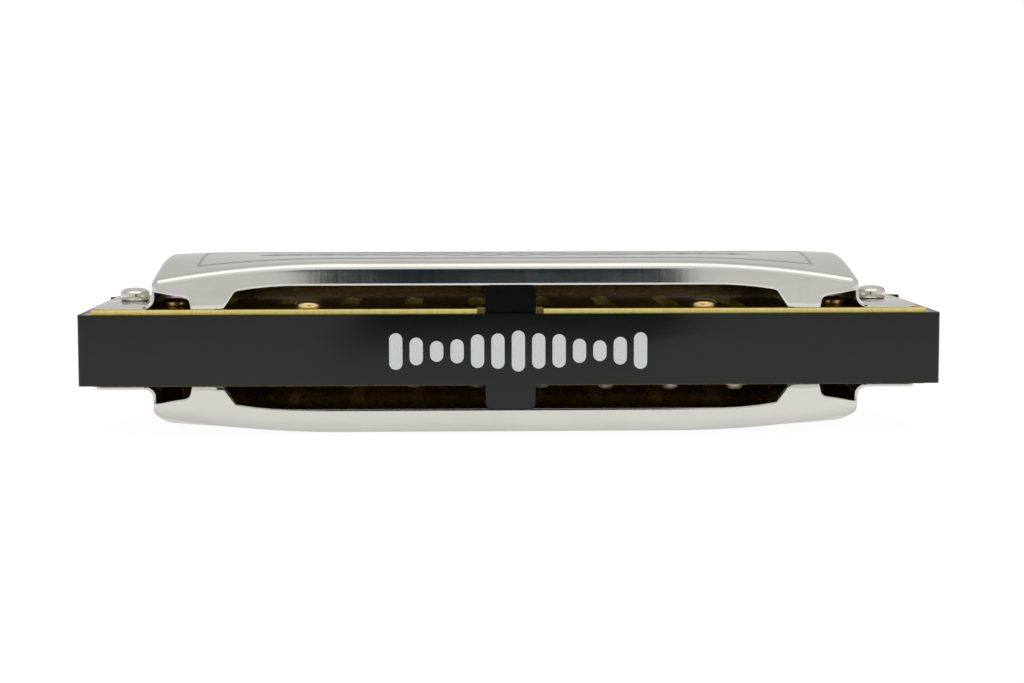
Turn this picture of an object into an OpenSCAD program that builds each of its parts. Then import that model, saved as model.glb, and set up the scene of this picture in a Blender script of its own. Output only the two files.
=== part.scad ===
// Ten-hole diatonic harmonica: moulded comb, two brass reed plates, twenty sprung reeds,
// two pressed cover plates and the screws that hold the stack together.
// X runs along the comb, Y from the printed rear face (-Y) to the mouth holes (+Y), Z up.
// The origin is under the middle of the comb, on the flat of the lower cover.

/* [Comb] */
// Length of the comb
comb_l = 102.3; // [98:0.1:106]
// Depth of the comb, rear face to mouthpiece lips
comb_d = 27; // [26:0.5:30]
// Height of the comb at its mouthpiece lips
lip_h = 9.16; // [9:0.02:9.6]
// Height of the comb at its rear and end rims
rim_h = 8.46; // [8:0.02:8.6]
// How far the middle of the rims sits below the middle of the comb
rim_drop = 0.16; // [0:0.02:0.2]
// Thickness of the rear rim
rear_rim_t = 1.15; // [0.9:0.05:1.15]
// Thickness of the end rims
end_rim_t = 1.4; // [1:0.1:1.8]
// Radius of the comb's corners beside the mouth holes
front_corner_r = 6; // [0.5:0.5:6]
// Distance between neighbouring mouth holes
hole_pitch = 7.8; // [7.4:0.05:7.9]
// Width of a mouth hole and its chamber
hole_w = 5.5; // [5.2:0.1:5.6]
// Height of a mouth hole
hole_h = 5.0; // [4.6:0.1:5.4]
// Offset of the screws and covers from the middle of the comb
works_x = -0.45; // [-0.5:0.05:0.5]
// Width of the posts that prop the covers
post_w = 6.1; // [5:0.1:7]

/* [Reed plates] */
// Thickness of a reed plate
plate_t = 0.95; // [0.9:0.05:1.05]
// Distance of the plates' rear edge from the rear face
plate_rear = 1.2; // [1.2:0.05:1.5]
// Distance of the plates' front edge from the rear face
plate_front = 22.45; // [22.2:0.05:22.45]
// Width of the notch around a post
notch_w = 7.9; // [7.2:0.1:9]

/* [Reeds] */
// Free length of the longest reed
reed_long = 15; // [14:0.1:15.2]
// How much shorter each next reed is
reed_step = 0.72; // [0.5:0.01:0.8]
// Width of a reed
reed_w = 2.0; // [1.8:0.05:2.2]
// Thickness of a reed's tongue
reed_t = 0.25; // [0.2:0.01:0.3]
// Clearance between a reed and each side of its slot
slot_clear = 0.1; // [0.08:0.01:0.15]
// Gap between a reed at rest and its plate
reed_gap = 0.07; // [0.05:0.01:0.12]
// Thickness of a reed's riveted foot
foot_t = 0.35; // [0.3:0.01:0.4]
// Length of a reed's riveted foot
foot_l = 2.8; // [2.4:0.1:2.8]
// Width of a reed's riveted foot
foot_w = 2.6; // [2.4:0.1:3]

/* [Covers] */
// Height of a cover above its reed plate
cover_h = 6.07; // [5.5:0.01:6.5]
// Thickness of the cover sheet
sheet_t = 0.35; // [0.3:0.05:0.5]
// Length over a cover's end walls
cover_l = 84.4; // [82:0.2:84.8]
// Length over a cover's screw tabs
tabs_l = 97.8; // [96:0.2:98.2]
// Outer radius of the bend from end wall to tab
bend_r = 1.3; // [1.2:0.1:1.6]
// Height of the rear opening above the reed plate
opening_h = 2.81; // [2.5:0.01:3.2]
// Width of the rear opening at the reed plate
opening_w = 67.2; // [64:0.2:68]

/* [Fasteners] */
// Distance between the two cover bolts
bolt_gap = 91.5; // [90:0.5:92]
// Radius of a cover bolt's shank
bolt_r = 1.0; // [0.9:0.05:1.1]
// Radius of a cover bolt's head
bolt_head_r = 1.8; // [1.6:0.05:1.9]
// Height of a cover bolt's head
bolt_head_h = 1.5; // [1:0.05:1.5]
// Radius of a plate screw's shank
screw_r = 0.8; // [0.7:0.05:0.85]
// Radius of a plate screw's head
screw_head_r = 1.6; // [1.4:0.05:1.7]
// Height of a plate screw's head
screw_head_h = 1.0; // [0.8:0.05:1.1]

/* [Hidden] */
HOLES = 10;
$fn = 48;
plate_top = lip_h / 2;                      // outer face of a plate, from the mid-plane
core_h = lip_h - 2 * plate_t;               // comb height between the plates
mid_z = plate_top + cover_h;                // height of the mid-plane over the surface
rim_low = -rim_h / 2 - rim_drop;
rim_high = rim_h / 2 - rim_drop;
plate_l = comb_l - 2 * end_rim_t - 0.1;
chamber_front = 22;                         // depths from the rear face
chamber_gap = 0.4;
blow_root = chamber_front - foot_l - 0.2;
draw_tip = 20.9;
tip_gap = 0.1;
lip_rear = 22.98;
bolt_s = 13.2;                              // depth of the cover bolts
post_rear = 1.0;
post_front = 3.6;
post_h = opening_h - 0.05;
notch_front = 4.0;
screw_places = [[23.6, 2.8], [40.1, 7]];    // half distance apart, depth
// cover outline
cover_rear = 1.2;
cover_front = 22.9;
ridge_s = 2.2;
ridge_z = plate_top + cover_h - 0.5;
crown_s = 16;
nose_z = plate_top - 0.1;
cover_foot_z = plate_top - 0.85;
dip_start = 20;
rear_dip = 0.0042;
cover_corner = 1.1;
hull_front_l = cover_l - 0.8;
tab_front = 21.8;
window_in = 37.4;
window_out = cover_l / 2 - sheet_t;

black = [0.07, 0.075, 0.08];
brass = [0.86, 0.76, 0.36];
bronze = [0.80, 0.68, 0.32];
steel = [0.80, 0.81, 0.79];

BLOW = [for (i = [1:HOLES]) str("blow_reed_", i)];
DRAW = [for (i = [1:HOLES]) str("draw_reed_", i)];

// ---- helpers -------------------------------------------------------------

// Y of a depth measured from the rear face
function y_at(s) = s - comb_d / 2;

// X of a hole; hole 1 has the longest reeds and lies at +X
function hole_x(i) = hole_pitch * ((HOLES + 1) / 2 - i);

// Free length of the reeds of a hole
function reed_l(i) = reed_long - reed_step * (i - 1);

// Points on an arc
function arc(cx, cy, rx, ry, from, to, n = 8) =
    [for (k = [0:n]) let (a = from + (to - from) * k / n) [cx + rx * cos(a), cy + ry * sin(a)]];

// Corners of a rounded rectangle between two opposite corners; the far ones may have their own radius
function rounded(x0, y0, x1, y1, r, far_r = 0, n = 6) = let (f = max(r, far_r)) concat(
    arc(x1 - r, y0 + r, r, r, -90, 0, n),
    arc(x1 - f, y1 - f, f, f, 0, 90, n),
    arc(x0 + f, y1 - f, f, f, 90, 180, n),
    arc(x0 + r, y0 + r, r, r, 180, 270, n));

// Raise a shape drawn about the mid-plane of the comb
module at_mid() translate([0, 0, mid_z]) children();

// Turn a shape drawn for the upper side over to the lower side
module lower_side() mirror([0, 0, 1]) children();

// Prism with its outline in depth and height, extruded along X
module along_x(points, l) translate([-l / 2, 0, 0]) rotate([90, 0, 90]) linear_extrude(l) polygon(points);

// Prism with its outline in X and Z, from depth s0 to s1
module along_y(points, s0, s1)
    translate([0, y_at(s1), 0]) rotate([90, 0, 0]) linear_extrude(s1 - s0) polygon(points);

module block(x0, x1, s0, s1, z0, z1)
    translate([x0, y_at(s0), z0]) cube([x1 - x0, s1 - s0, z1 - z0]);

module bore(x, s, r, z0, z1) translate([x, y_at(s), z0]) cylinder(h = z1 - z0, r = r);

// ---- comb ----------------------------------------------------------------

// Rearmost depth of the chamber behind a mouth hole
function chamber_rear(i) = blow_root - reed_l(i) - chamber_gap;

module chamber(i) {
    x0 = hole_x(i) - hole_w / 2;
    x1 = hole_x(i) + hole_w / 2;
    block(x0, x1, chamber_rear(i), chamber_front, -core_h, core_h);
    block(x0, x1, chamber_front - 1, comb_d + 1, -hole_h / 2, hole_h / 2);
}

module post() {
    r = 0.6;
    z0 = core_h / 2 - 0.2;
    z1 = plate_top + post_h;
    along_y(
        concat([[-post_w / 2, z0], [post_w / 2, z0]],
            arc(post_w / 2 - r - 0.1, z1 - r, r, r, 0, 90, 5),
            arc(-post_w / 2 + r + 0.1, z1 - r, r, r, 90, 180, 5)),
        post_rear, post_front);
}

module comb_blank() {
    lip_r = 1.4;
    intersection() {
        union() {
            block(-comb_l / 2, comb_l / 2, 0, comb_d - 1, -core_h / 2, core_h / 2);
            block(-comb_l / 2, comb_l / 2, 0, rear_rim_t, rim_low, rim_high);
            for (side = [-1, 1])
                translate([side * (comb_l - end_rim_t) / 2, 0, 0])
                    block(-end_rim_t / 2, end_rim_t / 2, 0, comb_d - 2, rim_low, rim_high);
            along_x(
                concat([[y_at(lip_rear), -lip_h / 2]],
                    arc(y_at(comb_d - lip_r), -lip_h / 2 + lip_r, lip_r, lip_r, -90, 0),
                    arc(y_at(comb_d - lip_r), lip_h / 2 - lip_r, lip_r, lip_r, 0, 90),
                    [[y_at(lip_rear), lip_h / 2]]),
                comb_l);
        }
        translate([0, 0, -lip_h]) linear_extrude(2 * lip_h)
            polygon(rounded(-comb_l / 2, -comb_d / 2, comb_l / 2, comb_d / 2, 0.5, front_corner_r));
    }
}

module comb() color(black) at_mid() difference() {
    union() {
        comb_blank();
        post();
        lower_side() post();
    }
    for (i = [1:HOLES]) chamber(i);
    for (side = [-1, 1]) {
        bore(works_x + side * bolt_gap / 2, bolt_s, bolt_r + 0.15, -lip_h, lip_h);
        for (p = screw_places) bore(works_x + side * p[0], p[1], screw_r + 0.1, -lip_h, lip_h);
    }
}

// ---- reed plates ---------------------------------------------------------

// Plate drawn for the upper side, with its outer face at plate_top
module plate(screw_hole_r, slot_from, slot_to, rivets) difference() {
    translate([0, 0, plate_top - plate_t]) linear_extrude(plate_t)
        polygon(rounded(-plate_l / 2, y_at(plate_rear), plate_l / 2, y_at(plate_front), 0.4));
    block(-notch_w / 2, notch_w / 2, 0, notch_front, 0, lip_h);
    for (i = [1:HOLES])
        block(hole_x(i) - reed_w / 2 - slot_clear, hole_x(i) + reed_w / 2 + slot_clear,
            slot_from[i - 1], slot_to[i - 1], 0, lip_h);
    for (side = [-1, 1]) {
        bore(works_x + side * bolt_gap / 2, bolt_s, bolt_r + 0.15, 0, lip_h);
        for (p = screw_places) bore(works_x + side * p[0], p[1], screw_hole_r, 0, lip_h);
    }
    for (i = [1:HOLES]) bore(hole_x(i), rivets[i - 1], rivet_r + 0.01, 0, lip_h);
}

module upper_reed_plate() color(brass) at_mid()
    plate(screw_r + 0.1,
        [for (i = [1:HOLES]) blow_root - reed_l(i) - tip_gap],
        [for (i = [1:HOLES]) blow_root],
        [for (i = [1:HOLES]) blow_rivet]);

module lower_reed_plate() color(brass) at_mid() lower_side()
    plate(screw_r + 0.02,
        [for (i = [1:HOLES]) draw_tip - reed_l(i)],
        [for (i = [1:HOLES]) draw_tip + tip_gap],
        [for (i = [1:HOLES]) draw_rivet(i)]);

// ---- reeds ---------------------------------------------------------------

rivet_r = 0.6;
rivet_head_r = 1.0;
rivet_head_h = 0.7;
root_gap = 0.05;
blow_z = plate_top - plate_t;               // face that carries the blow reeds

// Depth of a reed's rivet: blow reeds are riveted at the front, draw reeds at the rear
blow_rivet = blow_root + foot_l / 2;
function draw_rivet(i) = draw_tip - reed_l(i) - foot_l / 2;

// Tongue with its root at the origin, its tip towards +Y and its plate side facing up
module tongue(i) {
    tip_w = reed_w * 0.9;
    translate([0, 0, -reed_gap - reed_t]) linear_extrude(reed_t)
        polygon([[-reed_w / 2, root_gap], [reed_w / 2, root_gap],
            [tip_w / 2, reed_l(i)], [-tip_w / 2, reed_l(i)]]);
}

module blow_reed(i) color(bronze) at_mid()
    translate([hole_x(i), y_at(blow_root), blow_z]) mirror([0, 1, 0]) tongue(i);

module draw_reed(i) color(bronze) at_mid()
    translate([hole_x(i), y_at(draw_tip - reed_l(i)), -plate_top]) tongue(i);

// Foot round its rivet at depth s, under the face at height z
module foot(i, s, z) difference() {
    block(hole_x(i) - foot_w / 2, hole_x(i) + foot_w / 2, s - foot_l / 2, s + foot_l / 2, z - foot_t, z);
    bore(hole_x(i), s, rivet_r + 0.01, z - 1, z + 1);
}

module blow_reed_feet() color(bronze) at_mid()
    for (i = [1:HOLES]) foot(i, blow_rivet, blow_z);

module draw_reed_feet() color(bronze) at_mid()
    for (i = [1:HOLES]) foot(i, draw_rivet(i), -plate_top);

// Rivet through a foot and a plate, its head down and the foot's plate face at height z
module rivet(x, s, z) translate([x, y_at(s), 0]) rotate_extrude($fn = 24)
    polygon([[0, z + plate_t], [rivet_r, z + plate_t], [rivet_r, z - foot_t], [rivet_head_r, z - foot_t],
        [rivet_head_r * 0.8, z - foot_t - rivet_head_h * 0.7],
        [rivet_head_r * 0.4, z - foot_t - rivet_head_h], [0, z - foot_t - rivet_head_h]]);

module blow_rivets() color(brass) at_mid()
    for (i = [1:HOLES]) rivet(hole_x(i), blow_rivet, blow_z);

module draw_rivets() color(steel) at_mid()
    for (i = [1:HOLES]) rivet(hole_x(i), draw_rivet(i), -plate_top);

// ---- covers --------------------------------------------------------------

// Side view of a cover's surface, shrunk by t for its inner face
function cover_profile(t) = concat(
    [[y_at(cover_front - t), cover_foot_z - t], [y_at(cover_front - t), nose_z]],
    arc(y_at(crown_s), nose_z, cover_front - crown_s - t, mid_z - nose_z - t, 9, 90, 9),
    [[y_at(9), mid_z - t]],
    arc(y_at(ridge_s), ridge_z - 1.1, ridge_s - cover_rear - t, 1.1 - t, 90, 180, 6),
    [[y_at(cover_rear + t), cover_foot_z - t]]);

// End view of a cover at one depth, shrunk by t; its crest falls away past dip_start
function crest(x, z, dip) = z - dip * pow(max(0, abs(x) - dip_start), 2);
function cover_outline(t, l, z, dip) = let (
        xc = l / 2 - cover_corner,
        zc = crest(xc, z, dip) - cover_corner)
    concat(
        [[-l / 2 + t, cover_foot_z - t], [l / 2 - t, cover_foot_z - t]],
        arc(xc, zc, cover_corner - t, cover_corner - t, 0, 90, 5),
        [for (k = [1:7]) let (x = xc + (dip_start - xc) * k / 7) [x, crest(x, z, dip) - t]],
        [for (k = [7:-1:1]) let (x = xc + (dip_start - xc) * k / 7) [-x, crest(x, z, dip) - t]],
        arc(-xc, zc, cover_corner - t, cover_corner - t, 90, 180, 5));

// Solid bounded by a cover's outer face, or by its inner face when t is the sheet thickness
module cover_solid(t) intersection() {
    along_x(cover_profile(t), cover_l);
    hull() {
        along_y(cover_outline(t, cover_l, ridge_z, rear_dip), 0, ridge_s - 1);
        along_y(cover_outline(t, hull_front_l, mid_z + 0.35, 0), 15, cover_front + 1);
    }
}

module rear_opening() {
    top = plate_top + opening_h;
    half = opening_w / 2;
    along_y(
        concat([[-half - 1.1, plate_top - 2], [half + 1.1, plate_top - 2]],
            arc(half - 2.2, top - 1.1, 0.8, 0.7, 30, 90, 4),
            [[24, top], [-24, top]],
            arc(-half + 2.2, top - 1.1, 0.8, 0.7, 90, 150, 4)),
        0, cover_rear + 3);
}

module end_window() {
    z = plate_top;
    along_y(
        concat([[window_out, z + 1.8], [window_out, z - 1], [window_in - 0.1, z - 1]],
            arc(window_in + 1.1, z + 0.5, 0.95, 0.9, 180, 100, 4),
            [[window_in + 2.6, z + 1.45]]),
        0, cover_rear + 3);
}

// Tab with the bend up into the end wall, for the side at +X
module tab(hole_r) difference() {
    ri = bend_r - sheet_t;
    wall = cover_l / 2;
    cz = plate_top + bend_r;
    union() {
        along_y(
            concat(arc(wall + ri, cz, bend_r, bend_r, 180, 270), arc(wall + ri, cz, ri, ri, 270, 180)),
            cover_rear, tab_front);
        translate([0, 0, plate_top]) linear_extrude(sheet_t)
            polygon(concat([[wall + ri, y_at(tab_front)], [wall + ri, y_at(cover_rear)]],
                arc(tabs_l / 2 - 1, y_at(cover_rear + 1), 1, 1, -90, 0, 6),
                arc(tabs_l / 2 - 1, y_at(tab_front - 1), 1, 1, 0, 90, 6)));
    }
    bore(bolt_gap / 2, bolt_s, hole_r, 0, lip_h);
}

module cover(hole_r) {
    difference() {
        cover_solid(0);
        cover_solid(sheet_t);
        block(-comb_l, comb_l, -1, plate_front + 0.02, 0, plate_top);
        for (side = [0, 1]) mirror([side, 0, 0]) {
            block(window_out - 0.2, comb_l, -1, tab_front, 0, plate_top + bend_r);
            end_window();
        }
        rear_opening();
    }
    for (side = [0, 1]) mirror([side, 0, 0]) tab(hole_r);
}

module upper_cover() color(steel) at_mid() translate([works_x, 0, 0]) cover(bolt_r + 0.15);

module lower_cover() color(steel) at_mid() lower_side() translate([works_x, 0, 0]) cover(bolt_r + 0.02);

// ---- fasteners -----------------------------------------------------------

// Slotted domed head on a plain shank; the head sits at height z and the shank ends at z_end
module slotted_screw(x, s, z, z_end, r, head_r, head_h) translate([x, y_at(s), z]) difference() {
    union() {
        rotate_extrude() polygon(concat(
            [[0, 0], [head_r * 0.9, 0], [head_r, head_h * 0.15]],
            arc(0, head_h * 0.45, head_r, head_h * 0.55, 0, 90, 8)));
        translate([0, 0, z_end - z]) cylinder(h = z - z_end + head_h / 4, r = r);
    }
    translate([-head_r - 1, -0.22, head_h * 0.6]) cube([2 * head_r + 2, 0.44, head_h]);
}

module cover_bolt(side) color(steel) at_mid()
    slotted_screw(works_x + side * bolt_gap / 2, bolt_s, plate_top + sheet_t, -plate_top - sheet_t,
        bolt_r, bolt_head_r, bolt_head_h);

module plate_screw(side, place) color(brass) at_mid()
    slotted_screw(works_x + side * place[0], place[1], plate_top, -plate_top - 0.15,
        screw_r, screw_head_r, screw_head_h);

// ---- assembly ------------------------------------------------------------

comb();
upper_reed_plate();
lower_reed_plate();
upper_cover();
lower_cover();
blow_reed_feet();
draw_reed_feet();
blow_rivets();
draw_rivets();
cover_bolt(-1);  // left_cover_bolt
cover_bolt(1);  // right_cover_bolt
plate_screw(-1, screw_places[0]);  // rear_left_plate_screw
plate_screw(1, screw_places[0]);  // rear_right_plate_screw
plate_screw(-1, screw_places[1]);  // end_left_plate_screw
plate_screw(1, screw_places[1]);  // end_right_plate_screw
for (i = [1:HOLES]) {
    blow_reed(i);
    draw_reed(i);
}
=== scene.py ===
"""Ten-hole diatonic harmonica: the looks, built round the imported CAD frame.

Lengths are in millimetres in the frame's own axes (X along the comb, Y from the printed rear face to the
mouth holes, Z up) and become metres where a mesh is made. Most shapes are drawn with s, the depth from the
comb's rear face, and z, the height over the mid-plane between the two covers.
"""

import math

import bmesh
import bpy
from mathutils import Matrix, Vector


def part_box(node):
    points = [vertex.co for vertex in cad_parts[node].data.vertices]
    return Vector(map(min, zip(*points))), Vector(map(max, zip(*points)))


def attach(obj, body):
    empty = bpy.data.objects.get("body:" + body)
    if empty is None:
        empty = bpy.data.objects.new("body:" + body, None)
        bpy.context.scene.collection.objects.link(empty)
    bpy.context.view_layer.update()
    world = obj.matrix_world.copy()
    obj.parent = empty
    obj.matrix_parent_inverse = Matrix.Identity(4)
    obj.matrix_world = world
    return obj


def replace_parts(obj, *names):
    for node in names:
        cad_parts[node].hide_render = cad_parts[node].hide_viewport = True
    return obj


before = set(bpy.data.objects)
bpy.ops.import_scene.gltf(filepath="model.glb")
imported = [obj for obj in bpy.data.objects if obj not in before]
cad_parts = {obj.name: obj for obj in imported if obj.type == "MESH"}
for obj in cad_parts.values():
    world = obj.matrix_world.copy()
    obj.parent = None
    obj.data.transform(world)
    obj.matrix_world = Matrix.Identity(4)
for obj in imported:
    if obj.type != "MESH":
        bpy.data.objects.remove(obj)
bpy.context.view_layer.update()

MM = 0.001
BODY = "body"
HOLES = 10
WELD = 0.0005                                     # vertices nearer than this become one
CUT = 1.0                                         # how far a cutter reaches past what it cuts


# ---- sizes read from the frame -------------------------------------------------------------------

def box_mm(node):
    """Lowest and highest corner of a CAD node in millimetres."""
    low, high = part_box(node)
    return Vector(low) / MM, Vector(high) / MM


COMB_LOW, COMB_HIGH = box_mm("comb")
COVER_LOW, COVER_HIGH = box_mm("upper_cover")
PLATE_LOW, PLATE_HIGH = box_mm("upper_reed_plate")

REAR_Y = COMB_LOW.y                               # printed rear face of the comb
MID_Z = (COMB_LOW.z + COMB_HIGH.z) / 2            # mid-plane between the two covers
WORKS_X = (COVER_LOW.x + COVER_HIGH.x) / 2        # middle of the covers
PLATE_TOP = PLATE_HIGH.z - MID_Z                  # outer face of a reed plate, over the mid-plane
PLATE_T = PLATE_HIGH.z - PLATE_LOW.z
COVER_TOP = COVER_HIGH.z - MID_Z                  # crown of a cover
COVER_REAR = COVER_LOW.y - REAR_Y                 # depth of a cover's rear face
COVER_FRONT = COVER_HIGH.y - REAR_Y               # depth of a cover's front edge
TAB_X = (COVER_HIGH.x - COVER_LOW.x) / 2          # half length over the tabs


# ---- the covers' shape ---------------------------------------------------------------------------

SHEET = 0.35                                      # thickness of the sheet
END_WALL = 42.2                                   # half length over the end walls, at the rear
END_TAPER = 0.4                                   # how much nearer the walls are at the front
CORNER = 1.15                                     # radius of the end corners
RIDGE_Z = 10.24                                   # height of the rear ridge along its straight part
RIDGE_R = 1.15
DIP_START = 20.0                                  # the ridge falls away past this distance,
RIDGE_DIP = 0.0042                                # by this times the square of the distance past it
SINK_START = 33.0                                 # the crown does the same past this distance,
CROWN_SINK = 0.003                                # by this
CROWN_S_MID, CROWN_S_END = 10.5, 15.2             # depth where the crown starts, at the middle and the ends
RISE = 1.5                                        # the ridge's slope, as a multiple of the mean rise
NOSE_S = 16.0                                     # depth where the nose starts to turn down
TONGUE = 0.8                                      # how far the front edge reaches into its groove
TAB_REAR = COVER_REAR
TAB_FRONT = 21.8
TAB_CORNER = 1
BEND_IN = 0.95                                    # radius of the bend from wall to tab, at the outer face
BEND_Z = PLATE_TOP + SHEET + BEND_IN
BEND_SETBACK = 0.75                               # how far in front of the wall's rear the bend starts
BOLT_S = 13.2
BOLT_X = 45.75                                    # from the middle of the covers
BOLT_BORE_R = 1.15
OPENING_Z = 7.39                                  # edge of the rear opening over its middle
OPENING_X = 33.63                                 # half width of the opening at the plate
OPENING_KNEE = (32.1, 32.32)                      # x of the opening's corner and of the side below it
ARCH_START = 25                                   # the opening's edge falls away past this distance,
ARCH = 0.0125                                     # by this times the square of the distance past it
WINDOW_X = 37.41                                  # inner side of the small windows
EDGE_RISE = 0.14                                  # the wall's lower edge rises by this round the end corner

WALL_ROWS = 6                                     # steps of the skin's side view: the rear wall,
RIDGE_ROWS = 8                                    # the ridge, and the rise to the crown,
NOSE_ROWS = 14                                    # and the nose
TURN_STEPS = 7                                    # steps round the end corner and round the bend
HALF_HOLE_STEPS = 12


def lerp(a, b, t):
    return a + (b - a) * t


def smoothstep(t):
    t = min(1.0, max(0.0, t))
    return t * t * (3 - 2 * t)


def bezier(a, knee, b, steps):
    """Points of a quadratic curve from a to b round a knee."""
    points = []
    for k in range(steps + 1):
        t = k / steps
        points.append(tuple(lerp(lerp(p, q, t), lerp(q, r, t), t) for p, q, r in zip(a, knee, b)))
    return points


def rear_edge():
    """Lower edge of a cover's rear wall from the middle to an end, as (x, z)."""
    def crest(x):
        return OPENING_Z - ARCH * max(0.0, x - ARCH_START) ** 2

    foot = PLATE_TOP + 0.01
    knee_x, side_x = OPENING_KNEE
    points = [(2.0 * k, crest(2.0 * k)) for k in range(16)]
    points += bezier((31.75, crest(31.75)), (knee_x, crest(knee_x)), (side_x, 6.58), 5)
    points += [(33.0, 5.55), (33.35, 5.02), (OPENING_X, foot), (34.9, foot), (36.2, foot), (WINDOW_X, foot)]
    points += [(37.5, 5.0)]
    points += bezier((37.56, 5.3), (37.64, 5.98), (38.45, 6.1), 5)
    points += [(39.2, 6.2), (40.1, 6.35), (END_WALL - CORNER, 6.55)]
    return points


REAR_EDGE = rear_edge()


def crown_z(x):
    """Height of a cover's crown, which sinks a little over the ends."""
    return COVER_TOP - CROWN_SINK * max(0.0, abs(x) - SINK_START) ** 2


def ridge_end(x):
    """Where the ridge's arc ends above a column: its depth, height and slope, and the crown's depth."""
    crown = lerp(CROWN_S_MID, CROWN_S_END, smoothstep((abs(x) - DIP_START) / (END_WALL - DIP_START)))
    z = RIDGE_Z - RIDGE_DIP * max(0.0, abs(x) - DIP_START) ** 2
    slope = RISE * (crown_z(x) - z) / (crown - COVER_REAR - RIDGE_R)
    s = COVER_REAR + RIDGE_R - RIDGE_R * math.sin(math.atan(slope))
    return s, z, slope, crown


def skin_z(x, s):
    """Height of a cover's outer face, in front of the ridge."""
    start, z, slope, crown = ridge_end(x)
    if s < crown:
        t = (s - start) / (crown - start)
        rise = (t ** 3 - 2 * t ** 2 + t) * slope * (crown - start)
        return lerp(z, crown_z(x), t * t * (3 - 2 * t)) + rise
    if s < NOSE_S:
        return crown_z(x)
    reach = min(1.0, (s - NOSE_S) / (COVER_FRONT - NOSE_S))
    return PLATE_TOP + (crown_z(x) - PLATE_TOP) * math.sqrt(1 - reach ** 2)


def section(x, low):
    """Side view of the skin at a column, as (s, z): up the rear wall, over the ridge, down the nose."""
    start, z, slope, crown = ridge_end(x)
    tilt = math.atan(slope)
    middle = (COVER_REAR + RIDGE_R, z - RIDGE_R * math.cos(tilt))
    points = [(COVER_REAR, lerp(low, middle[1], k / WALL_ROWS)) for k in range(WALL_ROWS)]
    for k in range(RIDGE_ROWS + 1):
        a = lerp(math.pi, math.pi / 2 + tilt, k / RIDGE_ROWS)
        points.append((middle[0] + RIDGE_R * math.cos(a), middle[1] + RIDGE_R * math.sin(a)))
    for k in range(1, RIDGE_ROWS + 1):
        s = lerp(start, crown, k / RIDGE_ROWS)
        points.append((s, skin_z(x, s)))
    points.append((lerp(crown, NOSE_S, 0.5), crown_z(x)))
    for k in range(NOSE_ROWS + 1):
        a = math.radians(90 - 90 * k / NOSE_ROWS)
        points.append((NOSE_S + (COVER_FRONT - NOSE_S) * math.cos(a),
                       PLATE_TOP + (crown_z(x) - PLATE_TOP) * math.sin(a)))
    points.append((COVER_FRONT, PLATE_TOP - TONGUE))
    return points


def rolled_over(points, low, turn):
    """A section moved round the end corner by an angle from the top towards the end wall."""
    rolled = []
    last = len(points) - 1
    for k, (s, z) in enumerate(points):
        (s0, z0), (s1, z1) = points[max(0, k - 1)], points[min(last, k + 1)]
        length = math.hypot(s1 - s0, z1 - z0)
        normal = (-(z1 - z0) / length, (s1 - s0) / length)
        if k <= WALL_ROWS:
            normal = (-1.0, 0.0)
            z = lerp(low, points[WALL_ROWS][1], k / WALL_ROWS)
        inset = CORNER * (1 - math.cos(turn))
        x = END_WALL - CORNER + CORNER * math.sin(turn)
        rolled.append((x, s - normal[0] * inset, z - normal[1] * inset))
    return rolled


def half_skin():
    """Vertices and faces of a cover's outer face for x >= 0, as (x, s, z)."""
    columns = [[(x, s, z) for s, z in section(x, low)] for x, low in REAR_EDGE]
    edge_x, edge_low = REAR_EDGE[-1]
    edge_section = section(edge_x, edge_low)
    for k in range(1, TURN_STEPS + 1):
        turn = math.radians(90 * k / TURN_STEPS)
        columns.append(rolled_over(edge_section, edge_low + EDGE_RISE * math.sin(turn), turn))
    rows = len(edge_section)
    kept_rows = [k for k in range(rows) if k < rows - 8 or edge_section[k][1] > BEND_Z]
    verts = [p for column in columns for p in column]
    faces = []
    for c in range(len(columns) - 1):
        rolled = c >= len(REAR_EDGE) - 1
        for r in range(rows - 1):
            if rolled and r + 1 > kept_rows[-1]:
                continue
            a = c * rows + r
            faces.append((a, a + rows, a + rows + 1, a + 1))

    # the flat of the end wall, then the bend and the tab
    wall_top = [(len(columns) - 1) * rows + r for r in kept_rows]
    bend_rows = []
    for k in range(TURN_STEPS + 1):
        a = math.radians(180 + 90 * k / TURN_STEPS)
        x, z = END_WALL + BEND_IN + BEND_IN * math.cos(a), BEND_Z + BEND_IN * math.sin(a)
        rear = lerp(COVER_REAR + BEND_SETBACK, TAB_REAR, smoothstep(k / TURN_STEPS))
        depths = [lerp(rear, BOLT_S, t / 4) for t in range(4)]
        depths += [lerp(BOLT_S, TAB_FRONT, t / 4) for t in range(5)]
        bend_rows.append(range(len(verts), len(verts) + len(depths)))
        verts += [(x, s, z) for s in depths]
    faces.append(tuple(bend_rows[0]) + tuple(reversed(wall_top)))
    for low_row, high_row in zip(bend_rows, bend_rows[1:]):
        for k in range(len(low_row) - 1):
            faces.append((low_row[k], high_row[k], high_row[k + 1], low_row[k + 1]))

    tab_z = PLATE_TOP + SHEET
    last = bend_rows[-1]
    for rear_half in (True, False):
        sign = -1 if rear_half else 1
        end_s = TAB_REAR if rear_half else TAB_FRONT
        hole = []
        for k in range(HALF_HOLE_STEPS + 1):
            a = math.pi * k / HALF_HOLE_STEPS
            reach = sign * BOLT_BORE_R * math.sin(a)
            hole.append((BOLT_X - BOLT_BORE_R * math.cos(a), BOLT_S + reach, tab_z))
        corner = []
        for k in range(7):
            a = math.radians(15 * k)
            corner.append((TAB_X - TAB_CORNER + TAB_CORNER * math.cos(a),
                           end_s - sign * (TAB_CORNER - TAB_CORNER * math.sin(a)), tab_z))
        outline = hole + [(TAB_X, BOLT_S, tab_z)] + corner
        first = len(verts)
        verts += outline
        ring = list(last[:5]) if rear_half else list(reversed(last[4:]))
        face = ring + list(range(first, first + len(outline)))
        faces.append(tuple(reversed(face) if rear_half else face))
    return verts, faces


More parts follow.
